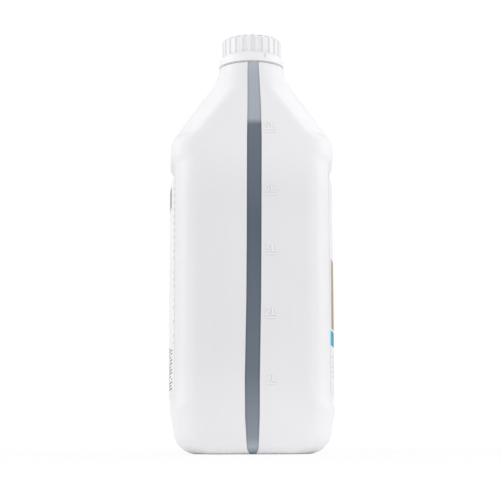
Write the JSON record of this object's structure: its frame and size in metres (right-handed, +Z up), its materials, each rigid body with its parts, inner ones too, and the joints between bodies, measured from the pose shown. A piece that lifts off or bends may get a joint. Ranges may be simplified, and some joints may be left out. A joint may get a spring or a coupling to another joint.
{
  "type": "floor cleaner jug",
  "caption": "White blown plastic jug with a hollow top handle, bowed label panels, a grey view stripe on the pouring face and a ribbed screw cap over a tamper band.",
  "frame": {"origin": "centre of the jug's overall box, on the plane of the ring that it stands on", "axes": "+Z up, -Y out of the pouring face with the stripe, +Y towards the handle's back leg, +X out of the front label"},
  "size_m": [0.13, 0.18, 0.314],
  "materials": {
    "bottle_white": "satin blown polyethylene with a clearer grey stripe",
    "cleaner_slate": "clear liquid that reads as slate through the stripe",
    "cap_white": "satin moulded polypropylene",
    "liner_foam": "soft foam disc",
    "front_film": "printed film with plain fields of colour",
    "back_film": "white film with plain grey bars"
  },
  "bodies": {
    "jug": {"bottle": "bottle_white", "cleaner": "cleaner_slate", "tamper_band": "cap_white", "front_label": "front_film", "back_label": "back_film"},
    "liner": {"cap_liner": "liner_foam"},
    "cap": {"screw_cap": "cap_white"}
  },
  "joints": [
    {"name": "cap_lift", "type": "slide", "parent": "jug", "child": "liner", "axis": [0, 0, 1], "range_m": [0, 0.0141]},
    {"name": "cap_turn", "type": "hinge", "parent": "liner", "child": "cap", "pos_m": [0, -0.0625, 0.306], "axis": [0, 0, 1], "range_deg": [0, 1260]}
  ],
  "couplings": [
    {"joint": "cap_lift", "follows": "cap_turn", "m_per_rad": 0.00063662}
  ]
}
